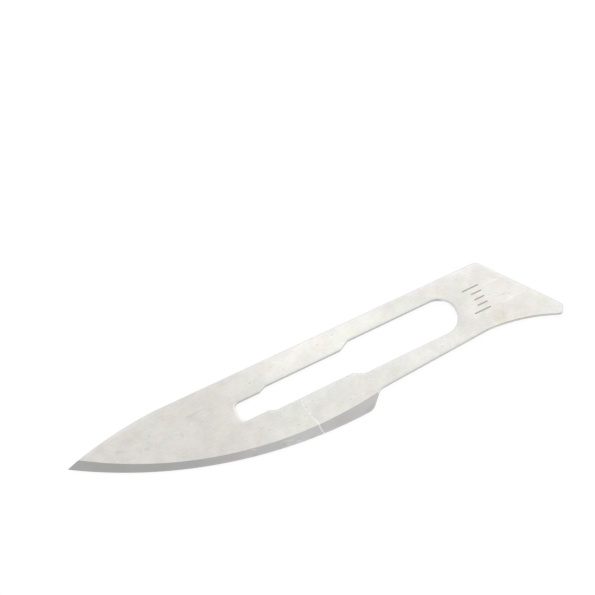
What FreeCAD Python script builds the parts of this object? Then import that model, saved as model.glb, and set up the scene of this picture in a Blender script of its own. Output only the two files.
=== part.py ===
import FreeCAD, Part
import os
import sys
from enum import IntEnum

import Sketcher

# A detachable scalpel blade of the large pattern with a deep curved belly: one flat piece of
# hardened steel strip, stamped to its outline, slotted for the bayonet of a handle and ground
# from both faces to a curved cutting edge.
# Millimetres. +X runs back along the slot to the heel, +Y across to the spine, +Z up through it.
# The origin is the centre of the slot's round rear end, on the underside.

# The driving dimensions: name, size and what it measures
DIMENSIONS = (
    ("thickness", 0.4, "thickness of the strip"),
    ("tip_reach", 34.15, "origin forward to the tip"),
    ("tip_rise", 2.08, "slot axis up to the tip"),
    ("spine_bend_reach", 25.8, "origin forward to where the spine starts to curve down"),
    ("spine_bend_rise", 3.44, "slot axis up to the spine at that bend"),
    ("nose_radius", 38.0, "curve of the spine from that bend down to the tip"),
    ("rear_top_reach", 5.43, "origin back to the spine's rear corner"),
    ("rear_top_rise", 3.15, "slot axis up to that corner"),
    ("heel_reach", 10.29, "origin back to the heel's upper corner"),
    ("heel_drop", 3.79, "slot axis down to that corner"),
    ("heel_toe_reach", 9.86, "origin back to the heel's lower corner"),
    ("heel_toe_drop", 4.57, "slot axis down to that corner"),
    ("flare_reach", 3.16, "origin back to where the tang flares into the heel"),
    ("flare_drop", 2.92, "slot axis down to the tang at the flare"),
    ("flare_radius", 16.6, "hollow of the flare"),
    ("root_reach", 7.57, "origin forward to the corner of the tang and the notch wall"),
    ("root_drop", 3.49, "slot axis down to that corner"),
    ("edge_end_reach", 8.94, "origin forward to the rear end of the cutting edge"),
    ("edge_end_drop", 4.85, "slot axis down to that end"),
    ("edge_radius", 42.2, "curve of the cutting edge"),
    ("spine_corner_radius", 0.4, "rounding of the spine's rear corner"),
    ("heel_corner_radius", 0.35, "rounding of the heel's two corners"),
    ("root_radius", 0.4, "rounding inside the corner of the tang and the notch wall"),
    ("edge_end_radius", 1.1, "rounding where the cutting edge turns up into the notch wall"),
    ("slot_rear_width", 3.33, "slot behind its waist, and the diameter of its round end"),
    ("slot_waist_width", 2.34, "slot between its two steps"),
    ("slot_front_width", 1.81, "slot ahead of its front step"),
    ("slot_waist_reach", 8.5, "origin forward to the middle of the rear step"),
    ("slot_step_reach", 16.45, "origin forward to the middle of the front step"),
    ("slot_front_reach", 19.4, "origin forward to the slot's front end"),
    ("slot_step_radius", 0.4, "rounding at the foot and the head of each step"),
    ("slot_front_radius", 0.5, "rounding of the slot's front corners"),
    ("ground_radius", 35.8, "curve of the line where the ground bevel leaves the face"),
    ("ground_rise", 1.38, "height of that line over the tip, at the grinding overrun"),
    ("ground_overrun", 0.4, "how far the grinding passes ahead of the tip"),
    ("ground_runout", 0.25, "how far behind the notch corner the grinding line ends"),
    ("ground_root_step", 0.08, "how far below the notch corner it ends"),
    ("ground_stock", 2.0, "depth below the cutting edge that the grinding sweeps clear"),
)


class Mark(IntEnum):
    """The sketcher's numbers for its two axes and for the start, end and centre of an edge."""

    X_AXIS = -1
    Y_AXIS = -2
    START = 1
    END = 2
    CENTRE = 3


MATCH = 1e-4  # how near an edge's foot lies to the spot that it is found by

# Corners of the stamped outline before rounding
TIP = ("-Dimensions.tip_reach", "Dimensions.tip_rise")
EDGE_END = ("-Dimensions.edge_end_reach", "-Dimensions.edge_end_drop")
OUTLINE = {
    "tip": TIP,
    "edge_end": EDGE_END,
    "root": ("-Dimensions.root_reach", "-Dimensions.root_drop"),
    "flare": ("Dimensions.flare_reach", "-Dimensions.flare_drop"),
    "heel_toe": ("Dimensions.heel_toe_reach", "-Dimensions.heel_toe_drop"),
    "heel": ("Dimensions.heel_reach", "-Dimensions.heel_drop"),
    "rear_top": ("Dimensions.rear_top_reach", "Dimensions.rear_top_rise"),
    "spine_bend": ("-Dimensions.spine_bend_reach", "Dimensions.spine_bend_rise"),
}


def fill_sheet(document):
    """Writes the driving dimensions to a sheet, each cell a plain number with an alias."""
    sheet = document.addObject("Spreadsheet::Sheet", "Dimensions")
    for row, (alias, size, meaning) in enumerate(DIMENSIONS, start=1):
        sheet.set(f"A{row}", alias)
        sheet.set(f"B{row}", str(size))
        sheet.set(f"C{row}", meaning)
        sheet.setAlias(f"B{row}", alias)
    document.recompute()


def origin_plane(body, role):
    """Returns the body's own origin plane that has the given role."""
    return next(plane for plane in body.Origin.OriginFeatures if plane.Role == role)


def flat_sketch(body, name, height=None):
    """Starts a sketch across the strip, on its middle plane or at a bound height over it."""
    sketch = body.newObject("Sketcher::SketchObject", name)
    sketch.AttachmentSupport = [(origin_plane(body, "XY_Plane"), "")]
    sketch.MapMode = "FlatFace"
    if height:
        sketch.setExpression("AttachmentOffset.Base.z", height)
    return sketch


def place(sketch, corner):
    """Works out a corner's place from its two expressions."""
    across, up = (sketch.evalExpression(expression) for expression in corner)
    return FreeCAD.Vector(float(across), float(up), 0)


def bind(sketch, name, constraint, expression):
    """Adds a constraint, names it and ties it to the sheet."""
    index = sketch.addConstraint(constraint)
    sketch.renameConstraint(index, name)
    sketch.setExpression(f"Constraints.{name}", expression)


def bind_corner(sketch, name, corner, geometry, point):
    """Ties one point of the sketch to a corner's two expressions."""
    spot = place(sketch, corner)
    for axis, value, expression, other_axis in (
        ("X", spot.x, corner[0], Mark.Y_AXIS),
        ("Y", spot.y, corner[1], Mark.X_AXIS),
    ):
        if expression == "0":
            sketch.addConstraint(Sketcher.Constraint("PointOnObject", geometry, point, other_axis))
            continue
        distance = Sketcher.Constraint(f"Distance{axis}", Mark.X_AXIS, Mark.START, geometry, point, value)
        bind(sketch, f"{name}_{axis.lower()}", distance, expression)


def arc_through(start, end, radius):
    """Returns the short arc that runs anticlockwise from start to end with the given radius."""
    chord = end.sub(start)
    across = FreeCAD.Vector(-chord.y, chord.x, 0).normalize()
    offset = max(radius**2 - (chord.Length / 2) ** 2, 0) ** 0.5
    centre = (start + end) * 0.5 + across * offset
    circle = Part.Circle(centre, FreeCAD.Vector(0, 0, 1), radius)
    return Part.ArcOfCircle(circle, circle.parameter(start), circle.parameter(end))


def draw_run(sketch, corners, runs):
    """Draws a closed run of lines and arcs through the corners and returns their indices.

    A run names the corner that it starts from, the one that it ends at and its radius. A line
    has no radius. An arc runs anticlockwise from its start to its end.
    """
    seats = {}
    indices = []
    for start, end, radius in runs:
        first, last = place(sketch, corners[start]), place(sketch, corners[end])
        shape = arc_through(first, last, radius) if radius else Part.LineSegment(first, last)
        index = sketch.addGeometry(shape, False)
        indices.append(index)
        for corner, point in ((start, Mark.START), (end, Mark.END)):
            if corner in seats:
                sketch.addConstraint(Sketcher.Constraint("Coincident", *seats[corner], index, point))
            else:
                seats[corner] = (index, point)
                bind_corner(sketch, corner, corners[corner], index, point)
    return indices


def bind_radius(sketch, name, arc, alias):
    """Ties an arc's radius to the sheet."""
    size = sketch.evalExpression(f"Dimensions.{alias}")
    bind(sketch, name, Sketcher.Constraint("Radius", arc, float(size)), f"Dimensions.{alias}")


def upright_edges(shape, spots):
    """Names the edges of a shape that stand upright over the given spots."""
    names = []
    for number, edge in enumerate(shape.Edges, start=1):
        feet = [vertex.Point for vertex in edge.Vertexes]
        for spot in spots:
            over_spot = all(abs(foot.x - spot.x) + abs(foot.y - spot.y) < MATCH for foot in feet)
            if len(feet) == 2 and over_spot:
                names.append(f"Edge{number}")
    return names


def round_uprights(body, base, name, spots, radius):
    """Rounds the upright edges over the given spots."""
    body.Document.recompute()
    rounding = body.newObject("PartDesign::Fillet", name)
    rounding.Base = (base, upright_edges(base.Shape, spots))
    rounding.setExpression("Radius", radius)
    return rounding


def stamp_outline(body):
    """Pads the blank: curved belly, notch, tang, flared heel, slanted rear end and spine."""
    sketch = flat_sketch(body, "outline")
    edge_radius = float(sketch.evalExpression("Dimensions.edge_radius"))
    flare_radius = float(sketch.evalExpression("Dimensions.flare_radius"))
    nose_radius = float(sketch.evalExpression("Dimensions.nose_radius"))
    runs = (
        ("tip", "edge_end", edge_radius),
        ("edge_end", "root", None),
        ("root", "flare", None),
        ("heel_toe", "flare", flare_radius),
        ("heel_toe", "heel", None),
        ("heel", "rear_top", None),
        ("rear_top", "spine_bend", None),
        ("spine_bend", "tip", nose_radius),
    )
    belly, _, _, flare, _, _, _, nose = draw_run(sketch, OUTLINE, runs)
    bind_radius(sketch, "edge_radius", belly, "edge_radius")
    bind_radius(sketch, "flare_radius", flare, "flare_radius")
    bind_radius(sketch, "nose_radius", nose, "nose_radius")

    blank = body.newObject("PartDesign::Pad", "blank")
    blank.Profile = sketch
    blank.SideType = "Symmetric"
    blank.setExpression("Length", "Dimensions.thickness")
    return blank


def round_outline(body, blank):
    """Rounds the corners of the stamped blank, and keeps the tip sharp."""
    spot = {name: place(body, corner) for name, corner in OUTLINE.items()}
    rounded = blank
    for name, corners, alias in (
        ("edge_end_rounding", ("edge_end",), "edge_end_radius"),
        ("root_rounding", ("root",), "root_radius"),
        ("heel_rounding", ("heel_toe", "heel"), "heel_corner_radius"),
        ("spine_rounding", ("rear_top",), "spine_corner_radius"),
    ):
        spots = [spot[corner] for corner in corners]
        rounded = round_uprights(body, rounded, name, spots, f"Dimensions.{alias}")


def step_corners(name, reach, rear_width, front_width):
    """Gives the four corners of a pair of slanted steps, as far along the slot as they narrow."""
    half_drop = f"({rear_width} - {front_width}) / 4"
    corners = {}
    for side, sign in (("upper", ""), ("lower", "-")):
        corners[f"{name}_rear_{side}"] = (f"-{reach} + {half_drop}", f"{sign}{rear_width} / 2")
        corners[f"{name}_front_{side}"] = (f"-{reach} - {half_drop}", f"{sign}{front_width} / 2")
    return corners


def cut_slot(body):
    """Pockets the key slot: a round rear end, a waist and a narrow front, with slanted steps."""
    rear, waist, front = (
        f"Dimensions.slot_{part}_width" for part in ("rear", "waist", "front")
    )
    front_end = "-Dimensions.slot_front_reach"
    steps = {
        **step_corners("waist", "Dimensions.slot_waist_reach", rear, waist),
        **step_corners("step", "Dimensions.slot_step_reach", waist, front),
    }
    ends = {
        "front_upper": (front_end, f"{front} / 2"),
        "front_lower": (front_end, f"-{front} / 2"),
    }
    round_ends = {"rear_upper": ("0", f"{rear} / 2"), "rear_lower": ("0", f"-{rear} / 2")}
    corners = {**steps, **ends, **round_ends}

    sketch = flat_sketch(body, "slot_outline")
    upper = ("rear", "waist_rear", "waist_front", "step_rear", "step_front", "front")
    order = [f"{corner}_upper" for corner in upper]
    order += [f"{corner}_lower" for corner in reversed(upper)]
    straight = [(start, end, None) for start, end in zip(order, order[1:])]
    rear_radius = float(sketch.evalExpression(f"{rear} / 2"))
    arc = draw_run(sketch, corners, (*straight, ("rear_lower", "rear_upper", rear_radius)))[-1]
    sketch.addConstraint(Sketcher.Constraint("PointOnObject", arc, Mark.CENTRE, Mark.Y_AXIS))

    slot = body.newObject("PartDesign::Pocket", "slot")
    slot.Profile = sketch
    slot.Type = "ThroughAll"
    slot.SideType = "Symmetric"
    stepped = round_uprights(
        body, slot, "slot_steps",
        [place(body, corner) for corner in steps.values()], "Dimensions.slot_step_radius",
    )
    round_uprights(
        body, stepped, "slot_front",
        [place(body, corner) for corner in ends.values()], "Dimensions.slot_front_radius",
    )


def grinding_sketch(body, name, height, radius_alias):
    """Draws what the wheel clears at one height: all that lies below an arc along the belly.

    Returns the sketch and its arc. The arc's ends are free across the blade.
    """
    sketch = flat_sketch(body, name, height)
    front = "-(Dimensions.tip_reach + Dimensions.ground_overrun)"
    rear = "-(Dimensions.root_reach - Dimensions.ground_runout)"
    below = "-(Dimensions.edge_end_drop + Dimensions.ground_stock)"
    radius = float(sketch.evalExpression(f"Dimensions.{radius_alias}"))
    arc_start = place(sketch, (front, "Dimensions.tip_rise + Dimensions.ground_rise"))
    arc_end = place(sketch, (rear, "-Dimensions.root_drop"))
    arc = sketch.addGeometry(arc_through(arc_start, arc_end, radius), False)
    bind_radius(sketch, radius_alias, arc, radius_alias)

    low_front, low_rear = place(sketch, (front, below)), place(sketch, (rear, below))
    down = sketch.addGeometry(Part.LineSegment(arc_start, low_front), False)
    along = sketch.addGeometry(Part.LineSegment(low_front, low_rear), False)
    back_up = sketch.addGeometry(Part.LineSegment(low_rear, arc_end), False)
    for first, second in (
        ((arc, Mark.START), (down, Mark.START)),
        ((down, Mark.END), (along, Mark.START)),
        ((along, Mark.END), (back_up, Mark.START)),
        ((back_up, Mark.END), (arc, Mark.END)),
    ):
        sketch.addConstraint(Sketcher.Constraint("Coincident", *first, *second))
    sketch.addConstraint(Sketcher.Constraint("Vertical", down))
    sketch.addConstraint(Sketcher.Constraint("Vertical", back_up))
    bind_corner(sketch, "low_front", (front, below), along, Mark.START)
    bind_corner(sketch, "low_rear", (rear, below), along, Mark.END)
    return sketch, arc


def grind_edge(body):
    """Grinds the bevel from both faces, so that they meet along the belly at mid thickness."""
    edge_line, edge_arc = grinding_sketch(body, "edge_line", None, "edge_radius")
    for name, corner in (("tip", TIP), ("edge_end", EDGE_END)):
        mark = edge_line.addGeometry(Part.Point(place(edge_line, corner)), True)
        bind_corner(edge_line, name, corner, mark, Mark.START)
        edge_line.addConstraint(Sketcher.Constraint("PointOnObject", mark, Mark.START, edge_arc))

    ground_line, ground_arc = grinding_sketch(
        body, "ground_line", "Dimensions.thickness / 2", "ground_radius"
    )
    for name, point, rise in (
        ("ground_front", Mark.START, "Dimensions.tip_rise + Dimensions.ground_rise"),
        ("ground_rear", Mark.END, "-(Dimensions.root_drop + Dimensions.ground_root_step)"),
    ):
        value = float(ground_line.evalExpression(rise))
        distance = Sketcher.Constraint("DistanceY", Mark.X_AXIS, Mark.START, ground_arc, point, value)
        bind(ground_line, name, distance, rise)

    body.Document.recompute()
    upper = body.newObject("PartDesign::SubtractiveLoft", "upper_bevel")
    upper.Profile = edge_line
    upper.Sections = [ground_line]
    upper.Ruled = True
    body.Document.recompute()
    both = body.newObject("PartDesign::Mirrored", "both_bevels")
    both.Originals = [upper]
    both.MirrorPlane = (origin_plane(body, "XY_Plane"), [""])
    body.Tip = both
    body.Document.recompute()


def make_blade(document):
    """Builds the blade as one body that lies on its underside."""
    body = document.addObject("PartDesign::Body", "blade")
    body.Label = "blade"
    blank = stamp_outline(body)
    round_outline(body, blank)
    cut_slot(body)
    grind_edge(body)
    body.setExpression("Placement.Base.z", "Dimensions.thickness / 2")
    document.recompute()
    return body


def check(document, bodies):
    """Stops if an object has failed or a body is not one sound solid."""
    for item in document.Objects:
        if {"Invalid", "Error"} & set(item.State):
            sys.exit(f"{item.Name} failed: {item.State}")
    for body in bodies:
        shape = body.Shape
        if shape.isNull() or not shape.isValid() or len(shape.Solids) != 1:
            sys.exit(f"{body.Label} is not one sound solid")


def main():
    """Builds the document and writes one file for each sub-part."""
    document = FreeCAD.newDocument("scalpel_blade")
    fill_sheet(document)
    bodies = [make_blade(document)]
    check(document, bodies)
    os.makedirs("parts", exist_ok=True)
    for body in bodies:
        body.Shape.exportStep(os.path.join("parts", f"{body.Label}.step"))
        box = body.Shape.optimalBoundingBox(False, False)
        print(f"{body.Label}: {box.XLength:.2f} x {box.YLength:.2f} x {box.ZLength:.2f} mm,",
              f"{body.Shape.Volume:.2f} mm3")


main()
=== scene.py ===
import logging
import math
from dataclasses import dataclass, field
from enum import IntEnum

import bpy
import numpy as np
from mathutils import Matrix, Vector


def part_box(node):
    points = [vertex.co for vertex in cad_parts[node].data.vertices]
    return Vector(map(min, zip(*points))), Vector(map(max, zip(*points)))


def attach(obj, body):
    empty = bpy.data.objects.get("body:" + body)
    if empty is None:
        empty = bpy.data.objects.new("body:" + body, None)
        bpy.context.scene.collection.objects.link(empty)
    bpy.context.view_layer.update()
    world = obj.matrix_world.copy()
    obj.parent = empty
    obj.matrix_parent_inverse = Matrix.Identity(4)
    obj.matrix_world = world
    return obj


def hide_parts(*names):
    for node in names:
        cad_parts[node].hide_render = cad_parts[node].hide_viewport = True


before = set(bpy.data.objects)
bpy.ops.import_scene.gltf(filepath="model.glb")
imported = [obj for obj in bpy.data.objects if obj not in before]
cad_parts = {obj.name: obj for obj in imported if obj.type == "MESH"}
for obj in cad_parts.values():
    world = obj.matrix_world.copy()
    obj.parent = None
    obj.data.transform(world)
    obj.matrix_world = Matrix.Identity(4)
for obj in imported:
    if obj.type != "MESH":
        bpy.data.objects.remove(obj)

LOG = logging.getLogger("blade")
MM = 0.001
Array = np.ndarray
Colour = tuple[float, float, float]
Spot = tuple[float, float]
Reach = tuple[float, float]
Triple = tuple[float, float, float]
Stroke = tuple[Spot, Spot]
Shade = tuple[Spot, Spot, float, float, Colour]
Value = bpy.types.NodeSocket | float


class Finish(IntEnum):
    """The three finishes of the blade, in the order of its material slots."""

    STRIP = 0
    GROUND = 1
    SHEARED = 2


@dataclass(frozen=True)
class Loop:
    """A closed line in the plane of the strip, followed by the length run along it."""

    points: Array
    lengths: Array

    @classmethod
    def through(cls, points: Array) -> "Loop":
        """Closes a line through points.

        Args:
            points: An array of n by 2, in millimetres, without a repeated end point.

        Returns:
            The loop, with the running length at every point and at the return to the first.
        """
        closed = np.vstack([points, points[:1]])
        steps = np.hypot(*np.diff(closed, axis=0).T)
        return cls(closed, np.concatenate([[0.0], np.cumsum(steps)]))

    def at(self, run: Array) -> Array:
        """Gives the points at the given lengths along the loop, by linear steps."""
        run = np.mod(run, self.lengths[-1])
        return np.stack([np.interp(run, self.lengths, axis) for axis in self.points.T], axis=-1)

    def nearest(self, spot: Spot) -> float:
        """Gives the length along the loop at which it comes nearest to a spot."""
        return float(self.lengths[np.hypot(*(self.points - spot).T).argmin()])


@dataclass(frozen=True)
class Turn:
    """One corner of an outline: where it is, its rounding, and the bend of the run after it.

    A bend of 0 is a straight run. A positive bend is the radius of an arc that runs
    anticlockwise, a negative one that of an arc that runs clockwise.
    """

    x: float
    y: float
    rounding: float = 0.0
    bend: float = 0.0


def arc_centre(first: Spot, last: Spot, bend: float) -> Array:
    """Finds the centre of the short arc between two spots.

    It lies off the chord's middle by the root of the radius squared less half the chord
    squared, on the left of the chord for an anticlockwise arc.

    Args:
        first: Where the arc starts.
        last: Where it ends.
        bend: Its radius, negative where it runs clockwise.

    Returns:
        The centre as an array of two.
    """
    start, end = np.array(first), np.array(last)
    chord = end - start
    length = np.hypot(*chord)
    left = np.array([-chord[1], chord[0]]) / length
    offset = math.sqrt(max(bend**2 - (length / 2) ** 2, 0.0))
    return (start + end) / 2 + math.copysign(offset, bend) * left


def sample_run(start: Turn, end: Turn, count: int = 600) -> Array:
    """Samples the run from one corner to the next.

    A straight run is start plus a fraction of the way to end. On an arc the angle round its
    centre goes evenly from start to end.

    Args:
        start: The corner that the run leaves, with the bend of the run.
        end: The corner that it reaches.
        count: How many points are sampled.

    Returns:
        An array of count by 2.
    """
    first, last = np.array([start.x, start.y]), np.array([end.x, end.y])
    part = np.linspace(0.0, 1.0, count)[:, None]
    if not start.bend:
        return first + (last - first) * part
    sense, radius = np.sign(start.bend), abs(start.bend)
    centre = arc_centre(first, last, start.bend)
    begin = math.atan2(*(first - centre)[::-1])
    sweep = sense * ((sense * (math.atan2(*(last - centre)[::-1]) - begin)) % math.tau)
    angle = begin + sweep * part
    return centre + radius * np.hstack([np.cos(angle), np.sin(angle)])


def trim_run(run: Array, off_start: float, off_end: float) -> Array:
    """Takes a length off each end of a sampled run and samples the rest evenly."""
    lengths = np.concatenate([[0.0], np.cumsum(np.hypot(*np.diff(run, axis=0).T))])
    kept = np.linspace(off_start, lengths[-1] - off_end, len(run))
    return np.stack([np.interp(kept, lengths, axis) for axis in run.T], axis=-1)


def round_loop(turns: list[Turn], count: int = 40) -> Loop:
    """Joins runs into a loop and rounds its corners.

    A rounding of radius r at a corner that turns by an angle a starts r tan(a / 2) before it and
    ends as far behind it. Between those points it is a rational quadratic curve that leans to
    the corner with weight cos(a / 2), which is a circle's arc.

    Args:
        turns: The corners in anticlockwise order.
        count: How many points each rounding gets.

    Returns:
        The loop, which starts at the first corner.
    """
    runs = [sample_run(turn, turns[(i + 1) % len(turns)]) for i, turn in enumerate(turns)]
    leave = [run[1] - run[0] for run in runs]
    reach = [run[-1] - run[-2] for run in runs]
    angles = [
        abs(math.remainder(math.atan2(*out[::-1]) - math.atan2(*into[::-1]), math.tau))
        for into, out in zip(reach[-1:] + reach[:-1], leave)
    ]
    cuts = [turn.rounding * math.tan(angle / 2) for turn, angle in zip(turns, angles)]
    runs = [trim_run(run, cuts[i], cuts[(i + 1) % len(cuts)]) for i, run in enumerate(runs)]
    part = np.linspace(0.0, 1.0, count)[1:-1, None]
    pieces: list[Array] = []
    for i, (turn, angle, cut) in enumerate(zip(turns, angles, cuts)):
        if cut:
            before, after, corner = runs[i - 1][-1], runs[i][0], np.array([turn.x, turn.y])
            weights = (1 - part) ** 2, 2 * part * (1 - part) * math.cos(angle / 2), part**2
            curve = weights[0] * before + weights[1] * corner + weights[2] * after
            pieces.append(curve / sum(weights))
        pieces.append(runs[i] if cuts[(i + 1) % len(cuts)] else runs[i][:-1])
    return Loop.through(np.vstack(pieces))


@dataclass
class Blade:
    """The blade: a stamped, slotted strip, ground from both faces to a curved cutting edge.

    Lengths are in millimetres and angles in radians, in the frame of the solid: x runs back
    along the slot, y across to the spine and z up through the strip.
    """

    thickness: float = 0.4
    tip: Spot = (-34.15, 2.08)
    edge_end: Spot = (-8.94, -4.85)
    root: Spot = (-7.57, -3.49)
    flare: Spot = (3.16, -2.92)
    heel_toe: Spot = (9.86, -4.57)
    heel: Spot = (10.29, -3.79)
    rear_top: Spot = (5.43, 3.15)
    spine_bend: Spot = (-25.8, 3.44)
    edge_radius: float = 42.2
    flare_radius: float = 16.6
    nose_radius: float = 38.0
    edge_end_rounding: float = 1.1
    root_rounding: float = 0.75
    flare_rounding: float = 5.0
    heel_rounding: float = 0.35
    spine_rounding: float = 0.8
    slot_half_widths: tuple[float, float, float] = (1.665, 1.17, 0.905)
    slot_steps: tuple[float, float] = (-8.55, -16.58)
    slot_half_slants: tuple[float, float] = (0.46, 0.33)
    slot_front: float = -19.4
    slot_step_rounding: float = 0.4
    slot_front_rounding: float = 0.5
    slot_start_gap: float = 0.05
    slot_corner_gap: float = 0.15
    ground_front: Spot = (-34.55, 3.46)
    ground_rear: Spot = (-7.32, -3.57)
    ground_radius: float = 35.8
    edge_flat: float = 0.003
    edge_roll_share: float = 0.3
    roll_reach: float = 0.26
    roll_drop: float = 0.045
    roll_room: float = 1.2
    least_bevel: float = 0.1
    least_span: float = 0.001
    station_step: float = 0.16
    station_turn: float = math.radians(7.0)
    station_gap: float = 0.02
    sharp_turn: float = math.radians(2.0)
    fine_count: int = 12001
    roll_rows: int = 6
    face_rows: int = 10
    bevel_rows: int = 6
    crease: float = math.radians(8.0)
    outer: Loop = field(init=False)
    slot: Loop = field(init=False)

    def __post_init__(self) -> None:
        """Works out the two loops that bound the strip."""
        self.outer = self.outline_loop()
        self.slot = self.slot_loop()

    def outline_loop(self) -> Loop:
        """Gives the stamped outline, anticlockwise from the tip."""
        return round_loop(
            [
                Turn(*self.tip, bend=self.edge_radius),
                Turn(*self.edge_end, rounding=self.edge_end_rounding),
                Turn(*self.root, rounding=self.root_rounding),
                Turn(*self.flare, rounding=self.flare_rounding, bend=-self.flare_radius),
                Turn(*self.heel_toe, rounding=self.heel_rounding),
                Turn(*self.heel, rounding=self.heel_rounding),
                Turn(*self.rear_top, rounding=self.spine_rounding),
                Turn(*self.spine_bend, bend=self.nose_radius),
            ]
        )

    def slot_loop(self) -> Loop:
        """Gives the key slot, anticlockwise from a spot on its front end."""
        rear, waist, front = self.slot_half_widths
        lower = [Turn(self.slot_front, -front, self.slot_front_rounding)]
        rear_step, front_step = zip(self.slot_steps, self.slot_half_slants)
        for (step, slant), ahead, behind in ((front_step, front, waist), (rear_step, waist, rear)):
            lower.append(Turn(step - slant, -ahead, self.slot_step_rounding))
            lower.append(Turn(step + slant, -behind, self.slot_step_rounding))
        upper = [Turn(turn.x, -turn.y, turn.rounding) for turn in reversed(lower)]
        bridge = Turn(self.slot_front, front - self.slot_front_rounding - self.slot_start_gap)
        round_end = [Turn(0.0, -rear, bend=rear), Turn(0.0, rear)]
        return round_loop([bridge, *lower, *round_end, *upper])

    def pairs(self) -> tuple[Array, Array]:
        """Says which length along the outline faces which length along the slot.

        Returns:
            The lengths along the outline and along the slot, both rising from the tip.
        """
        rear, waist, front = self.slot_half_widths
        corner_x = self.slot_front + self.slot_corner_gap
        corner_y = front - self.slot_corner_gap

        def round_spot(degrees: float) -> Spot:
            """Gives the spot on the slot's round end at an angle from the heel."""
            angle = math.radians(degrees)
            return rear * math.cos(angle), rear * math.sin(angle)

        facing = (
            ((-20.6, -3.9), (corner_x, -corner_y)),
            ((-18.9, -4.4), (-18.9, -front)),
            ((-13.6, -4.9), (-14.2, -waist)),
            ((-9.6, -4.7), (-9.6, -waist)),
            (self.root, (self.root[0], -rear)),
            ((-1.0, -3.1), (-1.0, -rear)),
            (self.flare, round_spot(-58)),
            (self.heel_toe, round_spot(-8)),
            (self.heel, round_spot(2)),
            (self.rear_top, round_spot(52)),
            ((0.0, 3.2), round_spot(95)),
            ((-9.6, 3.2), (-9.6, waist)),
            ((-18.9, 3.3), (-18.9, front)),
            ((-20.6, 3.3), (corner_x, corner_y)),
        )
        outer_runs = [self.outer.nearest(outer) for outer, _ in facing]
        slot_runs = [self.slot.nearest(slot) for _, slot in facing]
        return (
            np.array([0.0, *outer_runs, self.outer.lengths[-1]]),
            np.array([0.0, *slot_runs, self.slot.lengths[-1]]),
        )

    def stations(self) -> tuple[Array, Array]:
        """Chooses where the cross-sections stand.

        A cost grows with the length run and with the angle turned on either loop, and a station
        stands at every whole cost, so roundings get as many stations as they need. The corners
        without a rounding get stations of their own.

        Returns:
            The lengths of the stations along the outline and along the slot.
        """
        outer_pairs, slot_pairs = self.pairs()
        fine = np.linspace(0.0, self.outer.lengths[-1], self.fine_count)
        facing = np.interp(fine, outer_pairs, slot_pairs)
        cost = fine / self.station_step
        for line in (self.outer.at(fine), self.slot.at(facing)):
            heading = np.unwrap(np.arctan2(*np.diff(line, axis=0).T[::-1]))
            bend = np.minimum(np.abs(np.diff(heading)), self.sharp_turn)
            cost += np.concatenate([[0.0, 0.0], np.cumsum(bend)]) / self.station_turn
        even = np.interp(np.arange(0.0, cost[-1]), cost, fine)
        marks = np.array([0.0, self.outer.nearest(self.flare), self.outer.nearest(self.spine_bend)])
        even = even[np.abs(even[:, None] - marks).min(axis=1) > self.station_gap]
        runs = np.union1d(even[even < self.outer.lengths[-1] - self.station_gap], marks)
        return runs, np.interp(runs, outer_pairs, slot_pairs)

    def half_height(self, spots: Array) -> Array:
        """Gives how far each face stands off the middle plane.

        It is half the thickness, and over the bevel that times the distance to the cutting
        edge's arc over the sum of the distances to that arc and to the ground line's arc. That
        sum is held at the least span, so nothing is divided by 0.

        Args:
            spots: An array of points in the plane of the strip.

        Returns:
            The half heights, at least half the flat of the cutting edge.
        """
        edge_centre = arc_centre(self.tip, self.edge_end, self.edge_radius)
        ground_centre = arc_centre(self.ground_front, self.ground_rear, self.ground_radius)
        to_edge = self.edge_radius - np.linalg.norm(spots - edge_centre, axis=-1)
        past_line = np.linalg.norm(spots - ground_centre, axis=-1) - self.ground_radius
        share = to_edge / np.maximum(to_edge + np.maximum(past_line, 0.0), self.least_span)
        share = np.where(spots[..., 0] > self.ground_rear[0], 1.0, share)
        return np.clip(share * self.thickness / 2, self.edge_flat / 2, self.thickness / 2)

    def upper_half(self) -> tuple[Array, Array, Array]:
        """Works out the upper half of every cross-section, from the slot out to the outline.

        A section leaves the slot's wall at mid thickness, goes up it, over the rolled corner and
        along the face to the ground line, down the bevel, over the outer corner and down the
        outer wall to mid thickness. A corner's roll is a quarter ellipse of reach a and drop b:
        it is a (1 - sin t) from the wall and b (1 - cos t) below the face. The cutting edge's
        corners are quarter circles. A section without a bevel has its line just before the outer
        corner's roll, at the roll's reach times the room.

        Returns:
            The points, rows by stations by 3; the finish of the strip behind each row; and
            whether each station's section crosses the bevel.
        """
        outer_runs, slot_runs = self.stations()
        inner, outer = self.slot.at(slot_runs), self.outer.at(outer_runs)
        length = np.linalg.norm(outer - inner, axis=1)
        ahead = (outer - inner) / length[:, None]

        from_centre = inner - arc_centre(self.ground_front, self.ground_rear, self.ground_radius)
        along = (from_centre * ahead).sum(axis=1)
        inside = (from_centre**2).sum(axis=1) - self.ground_radius**2
        line = np.sqrt(along**2 - inside) - along
        ground = (line < length - self.least_bevel) & (outer[:, 0] < self.ground_rear[0])
        edge_roll = np.minimum(self.roll_drop, self.half_height(outer) * self.edge_roll_share)
        outer_reach = np.where(ground, edge_roll, self.roll_reach)
        outer_drop = np.where(ground, edge_roll, self.roll_drop)
        line = np.where(ground, line, length - self.roll_room * outer_reach)

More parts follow.
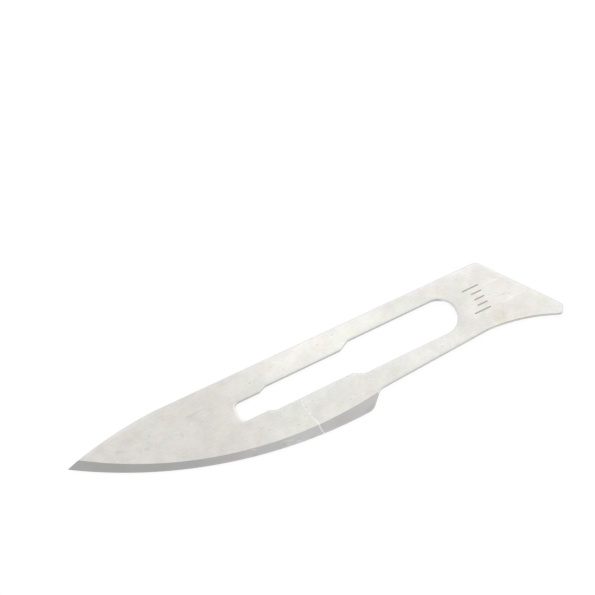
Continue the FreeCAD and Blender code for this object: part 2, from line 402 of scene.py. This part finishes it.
        quarter = np.linspace(math.pi / 2, 0.0, self.roll_rows)[:, None]
        face = np.linspace(0.0, 1.0, self.face_rows + 1)[1:, None]
        bevel = np.linspace(0.0, 1.0, self.bevel_rows + 1)[1:, None]
        rows = (
            (0.0 * length[None], None, Finish.SHEARED),
            (
                self.roll_reach * (1 - np.sin(quarter)) + 0.0 * length,
                self.roll_drop * (1 - np.cos(quarter)),
                Finish.STRIP,
            ),
            (self.roll_reach + (line - self.roll_reach) * face, 0.0 * face, Finish.STRIP),
            (line + (length - outer_reach - line) * bevel, 0.0 * bevel, Finish.GROUND),
            (
                length - outer_reach * (1 - np.sin(quarter[::-1][1:])),
                outer_drop * (1 - np.cos(quarter[::-1][1:])),
                Finish.GROUND,
            ),
            (length[None], None, Finish.SHEARED),
        )
        layers, finishes = [], []
        for reach, drop, finish in rows:
            spots = inner + reach[..., None] * ahead
            height = self.half_height(spots) - drop if drop is not None else 0.0 * reach
            layers.append(np.concatenate([spots, height[..., None]], axis=-1))
            finishes += [finish] * len(reach)
        return np.concatenate(layers), np.array(finishes), ground

    def mesh(self) -> bpy.types.Mesh:
        """Wraps the sections into one closed skin: a grid that closes on itself both ways.

        The lower half is the upper one turned over.

        Returns:
            The mesh in metres, with the finish of every face.
        """
        upper, finishes, ground = self.upper_half()
        lower = upper[-2:0:-1] * (1.0, 1.0, -1.0)
        grid = np.concatenate([upper, lower]) + (0.0, 0.0, self.thickness / 2)
        grid = np.clip(grid * MM, *np.array(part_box("blade")))
        rows, stations = grid.shape[:2]
        index = np.arange(rows * stations).reshape(rows, stations)
        down, across = np.roll(index, -1, axis=0), np.roll(index, -1, axis=1)
        both = np.roll(down, -1, axis=1)
        quads = np.stack([index, down, both, across], axis=-1).reshape(-1, 4)
        mesh = bpy.data.meshes.new("dressed_blade")
        mesh.from_pydata(grid.reshape(-1, 3).tolist(), [], quads.tolist())

        slot_walls, outer_walls = [0, rows - 1], [len(upper) - 2, len(upper) - 1]
        band = np.concatenate([finishes[1:], finishes[-2:0:-1], finishes[1:2]])
        band[slot_walls + outer_walls] = Finish.SHEARED
        faces = np.repeat(band[:, None], stations, axis=1)
        bevelled = ground & np.roll(ground, -1)
        faces[(faces == Finish.GROUND) & ~bevelled] = Finish.STRIP
        faces[np.ix_(outer_walls, bevelled)] = Finish.GROUND
        mesh.polygons.foreach_set("material_index", faces.ravel())
        mesh.polygons.foreach_set("use_smooth", np.ones(faces.size, bool))
        mesh.update()
        mesh.set_sharp_from_angle(angle=self.crease)
        return mesh

    def build(self) -> bpy.types.Object:
        """Puts the skin in the scene, in place of the plain solid."""
        piece = bpy.data.objects.new("dressed_blade", self.mesh())
        bpy.context.scene.collection.objects.link(piece)
        for finish in (StripFinish(), GroundFinish(), ShearedFinish()):
            piece.data.materials.append(finish.material())
        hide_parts("blade")
        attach(piece, "root")
        return piece


class Bench:
    """Lays out the nodes of one material, all in millimetres of the blade."""

    waver_width: float = 0.6

    def __init__(self, name: str, tree: bpy.types.NodeTree | None = None) -> None:
        """Starts an empty material, or clears the node tree that is given instead.

        Args:
            name: The name of the finish.
            tree: A node tree that isn't a material's.
        """
        if tree is None:
            self.material = bpy.data.materials.new(name)
            self.material.use_nodes = True
            tree = self.material.node_tree
        self.tree = tree
        self.tree.nodes.clear()
        place = self.add("ShaderNodeTexCoord").outputs["Object"]
        scaled = self.add("ShaderNodeVectorMath", {0: place, "Scale": 1 / MM}, operation="SCALE")
        self.place = scaled.outputs[0]
        apart = self.add("ShaderNodeSeparateXYZ", {0: self.place})
        self.x, self.y, self.z = apart.outputs

    def add(self, kind: str, inputs: dict | None = None, **settings: object) -> bpy.types.Node:
        """Adds a node.

        Args:
            kind: The type of node.
            inputs: A value or a socket for each input, by name or number.
            **settings: The node's own settings.

        Returns:
            The node.
        """
        node = self.tree.nodes.new(kind)
        for name, setting in settings.items():
            setattr(node, name, setting)
        for key, value in (inputs or {}).items():
            if isinstance(value, bpy.types.NodeSocket):
                self.tree.links.new(value, node.inputs[key])
            else:
                node.inputs[key].default_value = value
        return node

    def sum(self, operation: str, first: Value, second: Value = 0.0, third: Value = 0.0) -> Value:
        """Works one step of arithmetic."""
        inputs = {0: first, 1: second, 2: third}
        return self.add("ShaderNodeMath", inputs, operation=operation).outputs[0]

    def between(self, share: Value, first: Value, second: Value) -> Value:
        """Goes from the first value to the second by a share."""
        mix = self.add("ShaderNodeMix", {0: share, 2: first, 3: second}, data_type="FLOAT")
        return mix.outputs[0]

    def zone(self, way: Value, middle: Triple, inner: float, outer: float) -> Value:
        """Marks the directions near a middle one: 1 inside an angle, falling to 0 at another."""
        aim = tuple(Vector(middle).normalized())
        dot = self.add("ShaderNodeVectorMath", {0: way, 1: aim}, operation="DOT_PRODUCT")
        ends = (math.cos(math.radians(angle)) for angle in (outer, inner))
        return self.rise(dot.outputs["Value"], *ends)

    def rise(self, value: Value, low: float, high: float, most: float = 1.0) -> Value:
        """Rises smoothly from 0 at low to most at high; low may be the greater."""
        inputs = {"Value": value, "From Min": low, "From Max": high, "To Max": most}
        node = self.add("ShaderNodeMapRange", inputs, interpolation_type="SMOOTHSTEP")
        return node.outputs["Result"]

    def noise(self, scale: Triple, detail: float, shift: float = 0.0) -> Value:
        """Gives noise with its own scale along each axis, in cycles per millimetre."""
        mapping = {"Vector": self.place, "Scale": scale, "Location": (shift,) * 3}
        moved = self.add("ShaderNodeMapping", mapping).outputs[0]
        inputs = {"Vector": moved, "Scale": 1.0, "Detail": detail}
        return self.add("ShaderNodeTexNoise", inputs).outputs["Fac"]

    def blend(self, share: Value, first: object, second: object, how: str = "MIX") -> Value:
        """Mixes two colours. The node takes them at its inputs 6 and 7 and gives output 2."""
        node = self.add("ShaderNodeMix", {0: share}, data_type="RGBA", blend_type=how)
        for key, value in ((6, first), (7, second)):
            if isinstance(value, bpy.types.NodeSocket):
                self.tree.links.new(value, node.inputs[key])
            else:
                node.inputs[key].default_value = (*value, 1.0)
        return node.outputs[2]

    def grained(self, tone: Colour, grain: float, mixed: Value) -> Value:
        """Swings a tone by a share of itself, down and up with a noise."""
        low = tuple(channel * (1 - grain) for channel in tone)
        high = tuple(channel * (1 + grain) for channel in tone)
        return self.blend(self.rise(mixed, 0.3, 0.7), low, high)

    def shaded(self, colour: Value, tones_and_painted_light: tuple[Shade, ...]) -> Value:
        """Multiplies a colour by that of each stroke, as far as it reaches: tone shifts, and
        painted light and shade.
        """
        for first, last, half_width, soft, tint in tones_and_painted_light:
            shade = self.stroke(first, last, half_width, soft)
            colour = self.blend(shade, colour, tint, "MULTIPLY")
        return colour

    def stroke(
        self, first: Spot, last: Spot, half_width: float, soft: float, waver: Value | None = None
    ) -> Value:
        """Marks a stroke.

        The distance from the stroke is that from the nearest point of its line, held between
        its two ends, and the mark falls from 1 to 0 round the half width.

        Args:
            first: Where the stroke starts.
            last: Where it ends.
            half_width: Half its width.
            soft: Over what distance it fades.
            waver: A noise that bends the stroke, or none for a straight one.

        Returns:
            The mark, 1 on the stroke and 0 off it.
        """
        run = np.array(last) - np.array(first)
        length = float(np.hypot(*run))
        unit = run / length
        x = self.sum("SUBTRACT", self.x, first[0])
        y = self.sum("SUBTRACT", self.y, first[1])
        along = self.sum("MULTIPLY_ADD", x, float(unit[0]), self.sum("MULTIPLY", y, float(unit[1])))
        sideways = self.sum("MULTIPLY", y, float(unit[0]))
        across = self.sum("MULTIPLY_ADD", x, -float(unit[1]), sideways)
        if waver is not None:
            bent = self.sum("MULTIPLY_ADD", waver, self.waver_width, -self.waver_width / 2)
            across = self.sum("ADD", across, bent)
        past = self.sum("ABSOLUTE", self.sum("SUBTRACT", along, length / 2))
        past = self.sum("MAXIMUM", self.sum("SUBTRACT", past, length / 2), 0.0)
        squares = self.sum("MULTIPLY_ADD", past, past, self.sum("MULTIPLY", across, across))
        away = self.sum("SQRT", squares)
        return self.rise(away, half_width + soft / 2, half_width - soft / 2)

    def strokes(
        self, lines: tuple[Stroke, ...], half_width: float, soft: float, waver: Value | None = None
    ) -> Value:
        """Marks several strokes of one width."""
        mark: Value = 0.0
        for first, last in lines:
            mark = self.sum("MAXIMUM", mark, self.stroke(first, last, half_width, soft, waver))
        return mark

    def patch(self, centre: Spot, inner: float, outer: float) -> Value:
        """Marks a round patch of the upper face: 1 inside the inner radius, 0 past the outer."""
        inputs = {0: self.place, 1: (*centre, Blade.thickness)}
        gap = self.add("ShaderNodeVectorMath", inputs, operation="DISTANCE")
        return self.rise(gap.outputs["Value"], outer, inner)

    def metal(
        self, colour: Value, roughness: Value, height: Value, depth: float
    ) -> bpy.types.Material:
        """Ends the material as bare metal.

        Args:
            colour: The base colour.
            roughness: The roughness.
            height: The relief, from 0 to 1.
            depth: How deep the relief is, in millimetres.

        Returns:
            The material.
        """
        relief = {"Height": height, "Strength": 1.0, "Distance": depth * MM}
        surface = {"Base Color": colour, "Roughness": roughness, "Metallic": 1.0}
        surface["Normal"] = self.add("ShaderNodeBump", relief).outputs[0]
        shader = self.add("ShaderNodeBsdfPrincipled", surface)
        self.add("ShaderNodeOutputMaterial", {"Surface": shader.outputs[0]})
        return self.material


@dataclass(frozen=True)
class ScoreLine:
    """The line cut across the belly, its pale colour a painted highlight on its groove: dashes on
    its way down, whole at its foot.
    """

    first: Spot = (-14.22, -0.9)
    last: Spot = (-13.58, -5.1)
    half_width: float = 0.045
    soft: float = 0.1
    noise_scale: Triple = (0.9, 0.9, 0.9)
    dash_pace: float = 15.0
    dash_drift: float = 9.0
    dash_rise: Reach = (-0.5, 0.3)
    dash_strength: float = 0.7
    faintest: float = 0.1
    foot: Reach = (-2.9, -3.6)

    def mark(self, bench: Bench, top: Value) -> Value:
        """Marks the line on the upper side.

        The dashes are the crests of a sine of y times the pace, plus a drift that a noise gives.

        Args:
            bench: The bench of the material that the line crosses.
            top: A mark that is 1 on the upper side.

        Returns:
            The mark, 1 where the line is strongest.
        """
        drift = bench.sum("MULTIPLY", bench.noise(self.noise_scale, 2.0, 9.0), self.dash_drift)
        wave = bench.sum("SINE", bench.sum("MULTIPLY_ADD", bench.y, self.dash_pace, drift))
        dashes = bench.rise(wave, *self.dash_rise, self.dash_strength)
        whole = bench.rise(bench.y, *self.foot)
        strength = bench.sum("MAXIMUM", bench.sum("ADD", dashes, self.faintest), whole)
        waver = bench.noise(self.noise_scale, 4.0, 6.0)
        line = bench.stroke(self.first, self.last, self.half_width, self.soft, waver)
        return bench.sum("MULTIPLY", bench.sum("MULTIPLY", line, strength), top)


@dataclass(frozen=True)
class StripFinish:
    """The rolled and finely ground face of the strip, with its grain, clouds and marks."""

    tone: Colour = (0.654, 0.638, 0.608)
    grain: float = 0.07
    dash_share: float = 0.35
    speck_share: float = 0.15
    cloud_share: float = 0.50
    warm: Colour = (1.0, 0.972, 0.962)
    warm_rise: Reach = (0.5, 0.66)
    green: Colour = (0.985, 1.0, 0.955)
    green_rise: Reach = (0.47, 0.32)
    pitted: Colour = (0.84, 0.83, 0.81)
    pitted_rise: Reach = (0.74, 0.82)
    bright: Colour = (0.80, 0.785, 0.755)
    bright_rise: Reach = (0.22, 0.12)
    bright_share: float = 0.7
    # Lighter rolled edges: partly rubbing, partly a painted highlight on the rims.
    rubbed_and_highlit: Colour = (0.80, 0.80, 0.81)
    rubbed_and_highlit_share: float = 0.4
    least_roughness: float = 0.28
    roughness_swing: float = 0.12
    relief: float = 0.0012
    top_rise: Reach = (0.2, 0.3)
    etched: Colour = (0.50, 0.48, 0.46)
    tick_spots: tuple[float, ...] = (1.15, 0.575, 0.0, -0.575, -1.15)
    tick_foot: float = 4.5
    tick_heads: tuple[float, ...] = (3.0, 3.6, 3.6, 3.6, 3.0)
    tick_half_width: float = 0.06
    tick_soft: float = 0.06
    # The score's pale colour, a painted highlight on its groove.
    score_highlight: Colour = (0.79, 0.78, 0.765)
    score_relief: float = -0.6
    stain: Colour = (0.90, 0.90, 0.79)
    stain_spot: Spot = (4.78, -2.27)
    stain_reach: Reach = (0.2, 0.9)
    stain_rise: Reach = (0.35, 0.6)
    mark_half_width: float = 0.05
    mark_soft: float = 0.14
    pit_share: float = 0.7
    glint_share: float = 0.45
    tones_and_painted_light: tuple[Shade, ...] = (
        # Painted light and shade: the upper arm lighter, the nose darker.
        ((-14.0, 2.4), (-7.0, 2.5), 2.2, 4.2, (1.14, 1.14, 1.14)),
        ((-22.0, 1.6), (-21.6, -2.2), 2.5, 4.0, (0.96, 0.95, 0.95)),
        # A greener tone over the arms.
        ((-15.5, 0.0), (0.0, 0.0), 3.0, 3.0, (0.98, 1.0, 1.005)),
        # Painted highlights along the rims: the rear top corner, the spine, the slot's lower edge
        # and the rear end.
        ((-1.0, 3.2), (5.1, 3.0), 0.25, 0.9, (1.04, 1.05, 1.08)),
        ((-33.0, 2.5), (-25.8, 3.44), 0.12, 0.5, (1.09, 1.10, 1.12)),
        ((-25.8, 3.44), (5.1, 3.15), 0.1, 0.5, (1.06, 1.07, 1.09)),
        ((-15.9, -1.17), (0.8, -1.66), 0.05, 0.5, (1.04, 1.05, 1.06)),
        ((5.3, 3.0), (9.9, -3.6), 0.1, 0.5, (1.03, 1.04, 1.06)),
        # Tone shifts in patches.
        ((9.8, -3.9), (9.2, -4.0), 0.5, 1.2, (0.955, 0.985, 1.02)),
        ((2.3, 1.2), (1.8, -2.0), 0.5, 1.8, (0.935, 0.925, 0.935)),
        ((3.2, -2.4), (7.0, -2.4), 0.5, 2.0, (0.955, 0.965, 0.955)),
        ((-3.6, -2.4), (-0.8, -2.4), 0.5, 2.0, (1.055, 1.06, 1.06)),
        ((-27.0, 2.3), (-21.0, 2.4), 0.3, 1.6, (0.97, 0.98, 0.965)),
    )
    pits: tuple[Stroke, ...] = (
        ((-29.99, 1.47), (-29.15, 1.31)),
        ((-28.15, 0.68), (-27.32, 0.5)),
        ((-24.91, 0.7), (-24.32, 0.49)),
        ((-23.36, 1.52), (-21.7, 1.68)),
        ((5.43, -0.55), (6.55, -0.7)),
        ((4.1, -1.74), (4.14, -1.78)),
        ((5.1, -1.98), (5.26, -2.18)),
        ((5.25, -2.7), (5.29, -2.72)),
        ((8.77, -3.24), (8.78, -3.25)),
    )
    glints: tuple[Stroke, ...] = (
        ((-25.07, 0.79), (-25.05, 0.79)),
        ((-23.3, 0.96), (-23.28, 0.96)),
        ((4.94, 1.27), (5.79, 1.16)),
        ((5.04, 0.9), (6.54, 0.89)),
        ((5.69, -1.29), (7.46, -1.18)),
    )

    def material(self) -> bpy.types.Material:
        """Lays out the finish: its grain and tints, then the tone shifts with painted light and
        shade, the stain and the marks.
        """
        bench = Bench("strip_face")
        dashes = bench.noise((2.0, 6.0, 6.0), 2.0)
        specks = bench.noise((2.4, 4.6, 4.6), 0.0, 7.0)
        clouds = bench.noise((0.9, 0.9, 0.9), 3.0, 3.0)
        mixed = bench.sum("MULTIPLY", specks, self.speck_share)
        mixed = bench.sum("MULTIPLY_ADD", dashes, self.dash_share, mixed)
        mixed = bench.sum("MULTIPLY_ADD", clouds, self.cloud_share, mixed)
        colour = bench.shaded(self.tinted(bench, mixed, specks), self.tones_and_painted_light)
        blot = bench.patch(self.stain_spot, *self.stain_reach)
        blot = bench.sum("MULTIPLY", blot, bench.rise(clouds, *self.stain_rise))
        colour = bench.blend(blot, colour, self.stain, "MULTIPLY")
        # Lighter rolled edges, partly a painted highlight.
        colour = bench.blend(self.rubbed_and_highlit_rims(bench), colour, self.rubbed_and_highlit)
        top = bench.rise(bench.z, *self.top_rise)
        colour = self.marked(bench, colour, dashes, top)
        score = ScoreLine().mark(bench, top)
        colour = bench.blend(score, colour, self.score_highlight)
        height = bench.sum("MULTIPLY_ADD", score, self.score_relief, mixed)
        roughness = bench.sum("MULTIPLY_ADD", dashes, self.roughness_swing, self.least_roughness)
        return bench.metal(colour, roughness, height, self.relief)

    def tinted(self, bench: Bench, mixed: Value, specks: Value) -> Value:
        """Gives the grain's colour, with warm and green clouds and dark and bright specks."""
        tints = bench.noise((0.65, 0.65, 0.65), 2.0, 11.0)
        colour = bench.grained(self.tone, self.grain, mixed)
        colour = bench.blend(bench.rise(tints, *self.warm_rise), colour, self.warm, "MULTIPLY")
        colour = bench.blend(bench.rise(tints, *self.green_rise), colour, self.green, "MULTIPLY")
        pitting = bench.rise(specks, *self.pitted_rise)
        colour = bench.blend(pitting, colour, self.pitted, "MULTIPLY")
        sparkle = bench.rise(specks, *self.bright_rise, self.bright_share)
        return bench.blend(sparkle, colour, self.bright)

    def rubbed_and_highlit_rims(self, bench: Bench) -> Value:
        """Marks the rolled edges of both faces, which lie a little nearer the middle plane: lighter
        partly by rubbing and partly as a painted highlight on the rims.
        """
        half = Blade.thickness / 2
        from_middle = bench.sum("ABSOLUTE", bench.sum("SUBTRACT", bench.z, half))
        return bench.rise(from_middle, half, half - Blade.roll_drop / 3, self.rubbed_and_highlit_share)

    def marked(self, bench: Bench, colour: Value, waver: Value, top: Value) -> Value:
        """Adds the etched ticks, the pits and the glints of the upper side."""
        ticks = tuple(
            ((head, spot), (self.tick_foot, spot))
            for spot, head in zip(self.tick_spots, self.tick_heads)
        )
        mark = bench.strokes(ticks, self.tick_half_width, self.tick_soft)
        colour = bench.blend(bench.sum("MULTIPLY", mark, top), colour, self.etched, "MULTIPLY")
        for lines, tone, how, share in (
            (self.pits, self.pitted, "MULTIPLY", self.pit_share),
            (self.glints, self.bright, "MIX", self.glint_share),
        ):
            mark = bench.strokes(lines, self.mark_half_width, self.mark_soft, waver)
            mark = bench.sum("MULTIPLY", bench.sum("MULTIPLY", mark, share), top)
            colour = bench.blend(mark, colour, tone, how)
        return colour


@dataclass(frozen=True)
class GroundFinish:
    """The bevel, ground by the wheel to a finer finish than the face, and darker: partly its own
    finish, partly painted shade for what it reflects.
    """

    # Darker than the face, partly as painted shade.
    tone: Colour = (0.57, 0.57, 0.565)
    grain: float = 0.035
    line_share: float = 0.4
    cloud_share: float = 0.6
    brown: Colour = (1.0, 0.986, 0.976)
    brown_rise: Reach = (0.5, 0.62)
    green: Colour = (0.985, 1.0, 0.985)
    green_rise: Reach = (0.48, 0.36)
    # The score's pale colour, a painted highlight on its groove.
    score_highlight: Colour = (0.84, 0.84, 0.83)
    least_roughness: float = 0.25
    roughness_swing: float = 0.1
    relief: float = 0.0005
    top_rise: Reach = (0.19, 0.21)
    mark_half_width: float = 0.05
    mark_soft: float = 0.14
    tones_and_painted_light: tuple[Shade, ...] = (
        # Painted shade over the bevel's rear.
        ((-11.5, -4.4), (-8.0, -4.4), 1.5, 5.0, (0.89, 0.89, 0.89)),
        # Darker at the bevel's rear corner, and a thin brownish line at the score's foot.
        ((-9.5, -4.7), (-8.8, -4.55), 0.1, 0.5, (0.86, 0.87, 0.86)),
        ((-13.5, -4.0), (-13.42, -4.45), 0.05, 0.3, (0.93, 0.90, 0.89)),
        # Painted light over the bevel from x -24 to -20.
        ((-24.0, -3.2), (-20.5, -4.1), 0.8, 2.4, (1.06, 1.055, 1.05)),
    )
    marks: tuple[tuple[Spot, Spot, float], ...] = (
        # Painted highlights: glare along the cutting edge, as stroke and colour factor.
        ((-16.91, -3.98), (-16.24, -4.15), 1.16),
        ((-16.85, -4.29), (-16.64, -4.34), 1.18),
        ((-16.04, -4.44), (-15.71, -4.46), 1.18),
        ((-19.7, -3.43), (-19.43, -3.5), 1.16),
        # Dark pits.
        ((-17.09, -4.17), (-17.07, -4.18), 0.8),
        ((-15.72, -4.3), (-15.7, -4.3), 0.8),
        ((-17.52, -4.3), (-17.5, -4.3), 0.8),
        ((-19.87, -3.85), (-19.51, -3.9), 0.86),
        ((-14.78, -4.66), (-14.59, -4.66), 0.84),
        ((-19.47, -3.26), (-18.89, -3.39), 0.9),
    )

    def material(self) -> bpy.types.Material:
        """Lays out the finish: its grain and tints, then the tone shifts with painted light and
        shade, the painted glare and dark pits, and the score.
        """
        bench = Bench("ground_bevel")
        lines = bench.noise((9.0, 0.6, 0.6), 3.0, 5.0)
        clouds = bench.noise((0.4, 0.8, 0.8), 2.0, 2.0)
        tints = bench.noise((0.35, 0.6, 0.6), 1.0, 8.0)
        mixed = bench.sum("MULTIPLY", clouds, self.cloud_share)
        mixed = bench.sum("MULTIPLY_ADD", lines, self.line_share, mixed)
        colour = bench.grained(self.tone, self.grain, mixed)
        colour = bench.blend(bench.rise(tints, *self.brown_rise), colour, self.brown, "MULTIPLY")
        colour = bench.blend(bench.rise(tints, *self.green_rise), colour, self.green, "MULTIPLY")
        colour = bench.shaded(colour, self.tones_and_painted_light)
        top = bench.rise(bench.z, *self.top_rise)
        for first, last, share in self.marks:
            mark = bench.stroke(first, last, self.mark_half_width, self.mark_soft)
            mark = bench.sum("MULTIPLY", mark, top)
            colour = bench.blend(mark, colour, (share, share, share), "MULTIPLY")
        colour = bench.blend(ScoreLine().mark(bench, top), colour, self.score_highlight)
        roughness = bench.sum("MULTIPLY_ADD", lines, self.roughness_swing, self.least_roughness)
        return bench.metal(colour, roughness, mixed, self.relief)


@dataclass(frozen=True)
class ShearedFinish:
    """The walls that the stamping sheared: smooth above, torn below, with upright lines."""

    cut: Colour = (0.58, 0.58, 0.57)
    torn: Colour = (0.46, 0.46, 0.45)
    tear_rise: Reach = (0.13, 0.21)
    tear_swing: float = 0.12
    lined: Colour = (0.8, 0.8, 0.8)
    lined_rise: Reach = (0.3, 0.7)
    lined_share: float = 0.3
    # The colour of the painted highlights on the walls.
    bright: Colour = (0.95, 0.95, 0.94)
    # Painted highlights at the slot's round end and along the heel's wall, as stroke, width, fade
    # and share.
    painted_wall_highlights: tuple[tuple[Spot, Spot, float, float, float], ...] = (
        ((1.4, 1.0), (1.3, -1.0), 0.45, 0.5, 1.0),
        ((3.6, -3.0), (7.6, -4.2), 0.3, 0.8, 0.4),
    )
    least_roughness: float = 0.34
    roughness_swing: float = 0.15
    relief: float = 0.004

    def material(self) -> bpy.types.Material:
        """Lays out the finish: the torn foot, the upright lines and the stretches painted bright as
        highlights.
        """
        bench = Bench("sheared_wall")
        lines = bench.noise((11.0, 11.0, 0.8), 3.0, 4.0)
        ragged = bench.sum("MULTIPLY_ADD", lines, self.tear_swing, bench.z)
        colour = bench.blend(bench.rise(ragged, *self.tear_rise), self.torn, self.cut)
        upright = bench.rise(lines, *self.lined_rise, self.lined_share)
        colour = bench.blend(upright, colour, self.lined, "MULTIPLY")
        for first, last, half_width, soft, share in self.painted_wall_highlights:
            shine = bench.sum("MULTIPLY", bench.stroke(first, last, half_width, soft), share)
            colour = bench.blend(shine, colour, self.bright)
        roughness = bench.sum("MULTIPLY_ADD", lines, self.roughness_swing, self.least_roughness)
        return bench.metal(colour, roughness, lines, self.relief)


@dataclass(frozen=True)
class Studio:
    """A white floor under soft, even light, seen as the object was photographed."""

    floor_half: float = 2.0
    floor_drop: float = 0.00002
    floor_tone: float = 0.8
    floor_glow: float = 0.81
    floor_lit: float = 0.25
    world_light: float = 0.8
    dim_way: Triple = (-0.45, -0.15, 0.88)
    dim_inner: float = 10.0
    dim_outer: float = 30.0
    dim_depth: float = 0.4
    front_way: Triple = (-0.15, -0.8, 0.5)
    front_inner: float = 20.0
    front_outer: float = 40.0
    front_depth: float = 0.85
    camera_spot: Triple = (-0.0330, -0.03791, 0.1210)
    camera_aim: Triple = (0.1753, 0.3449, -0.9221)
    lens: float = 90.76
    sensor: float = 36.0
    clip: Reach = (0.001, 10.0)
    key_spot: Triple = (0.25, 0.2, 0.55)
    key_size: float = 0.42
    key_glow: float = 0.47

    def seen(self, bench: Bench) -> Value:
        """Gives 1 for a ray that shows the background, seen straight or in gloss or glass."""
        path = bench.add("ShaderNodeLightPath")
        seen = bench.sum("MAXIMUM", path.outputs["Is Camera Ray"], path.outputs["Is Glossy Ray"])
        return bench.sum("MAXIMUM", seen, path.outputs["Is Transmission Ray"])

    def floor(self) -> bpy.types.Object:
        """Lays a flat white floor just under the blade."""
        half = self.floor_half
        corners = np.array([(-half, -half), (half, -half), (half, half), (-half, half)])
        mesh = bpy.data.meshes.new("floor")
        points = np.column_stack([corners, np.full(4, -self.floor_drop)])
        mesh.from_pydata(points.tolist(), [], [(0, 1, 2, 3)])
        floor = bpy.data.objects.new("floor", mesh)
        bpy.context.scene.collection.objects.link(floor)
        bench = Bench("white_floor")
        plain = bench.add("ShaderNodeBsdfDiffuse", {"Color": (self.floor_tone,) * 3 + (1.0,)})
        lit = bench.add("ShaderNodeBsdfDiffuse", {"Color": (self.floor_lit,) * 3 + (1.0,)})
        glow = bench.add("ShaderNodeEmission", {"Strength": self.floor_glow})
        both = bench.add("ShaderNodeAddShader", {0: lit.outputs[0], 1: glow.outputs[0]})
        mixed = bench.add(
            "ShaderNodeMixShader", {0: self.seen(bench), 1: plain.outputs[0], 2: both.outputs[0]}
        )
        bench.add("ShaderNodeOutputMaterial", {"Surface": mixed.outputs[0]})
        mesh.materials.append(bench.material)
        return floor

    def world(self) -> None:
        """Surrounds the scene with white.

        The camera sees plain white. A glossy ray sees it too, dimmer in two soft round zones,
        one overhead towards the tip and one low in front, each by the angle from its middle.
        As a light it is a little weaker.
        """
        world = bpy.data.worlds.new("white_surround")
        world.use_nodes = True
        bpy.context.scene.world = world
        bench = Bench("white_surround", world.node_tree)
        way = bench.add("ShaderNodeTexCoord").outputs["Generated"]
        path = bench.add("ShaderNodeLightPath").outputs
        dim = bench.zone(way, self.dim_way, self.dim_inner, self.dim_outer)
        front = bench.zone(way, self.front_way, self.front_inner, self.front_outer)
        gloss = bench.sum("MULTIPLY_ADD", dim, -self.dim_depth, 1.0)
        gloss = bench.sum("MULTIPLY_ADD", front, -self.front_depth, gloss)
        shown = bench.sum("MAXIMUM", path["Is Glossy Ray"], path["Is Transmission Ray"])
        strength = bench.between(shown, self.world_light, gloss)
        strength = bench.between(path["Is Camera Ray"], strength, 1.0)
        background = bench.add(
            "ShaderNodeBackground", {"Color": (1.0, 1.0, 1.0, 1.0), "Strength": strength}
        )
        bench.add("ShaderNodeOutputWorld", {"Surface": background.outputs[0]})

    def lamp(self, name: str, spot: Triple, size: float, glow: float) -> None:
        """Hangs a square soft light that faces the blade.

        Args:
            name: The lamp's name.
            spot: Where it hangs, in metres.
            size: Its side, in metres.
            glow: Its radiance, where 1 looks white. The power is that times pi times its area.
        """
        data = bpy.data.lights.new(name, "AREA")
        data.shape = "SQUARE"
        data.size = size
        data.energy = glow * math.pi * size**2
        lamp = bpy.data.objects.new(name, data)
        lamp.location = spot
        lamp.rotation_euler = Vector(spot).to_track_quat("Z", "Y").to_euler()
        bpy.context.scene.collection.objects.link(lamp)

    def camera(self) -> None:
        """Stands the camera where the photograph was taken from."""
        data = bpy.data.cameras.new("camera")
        data.lens, data.sensor_width = self.lens, self.sensor
        data.clip_start, data.clip_end = self.clip
        camera = bpy.data.objects.new("camera", data)
        camera.location = self.camera_spot
        camera.rotation_euler = Vector(self.camera_aim).to_track_quat("-Z", "Y").to_euler()
        bpy.context.scene.collection.objects.link(camera)
        bpy.context.scene.camera = camera

    def build(self) -> None:
        """Sets up the floor, the world, the lamp and the camera."""
        self.floor()
        self.world()
        self.lamp("key", self.key_spot, self.key_size, self.key_glow)
        self.camera()
        bpy.context.scene.view_settings.view_transform = "Standard"


def main() -> None:
    """Builds the blade and the studio, and logs each piece."""
    logging.basicConfig(level=logging.INFO, format="%(name)s: %(message)s")
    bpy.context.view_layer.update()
    piece = Blade().build()
    LOG.info("%s: %d faces", piece.name, len(piece.data.polygons))
    Studio().build()
    LOG.info("studio: floor, world, lamp and camera")


if __name__ == "__main__":
    main()
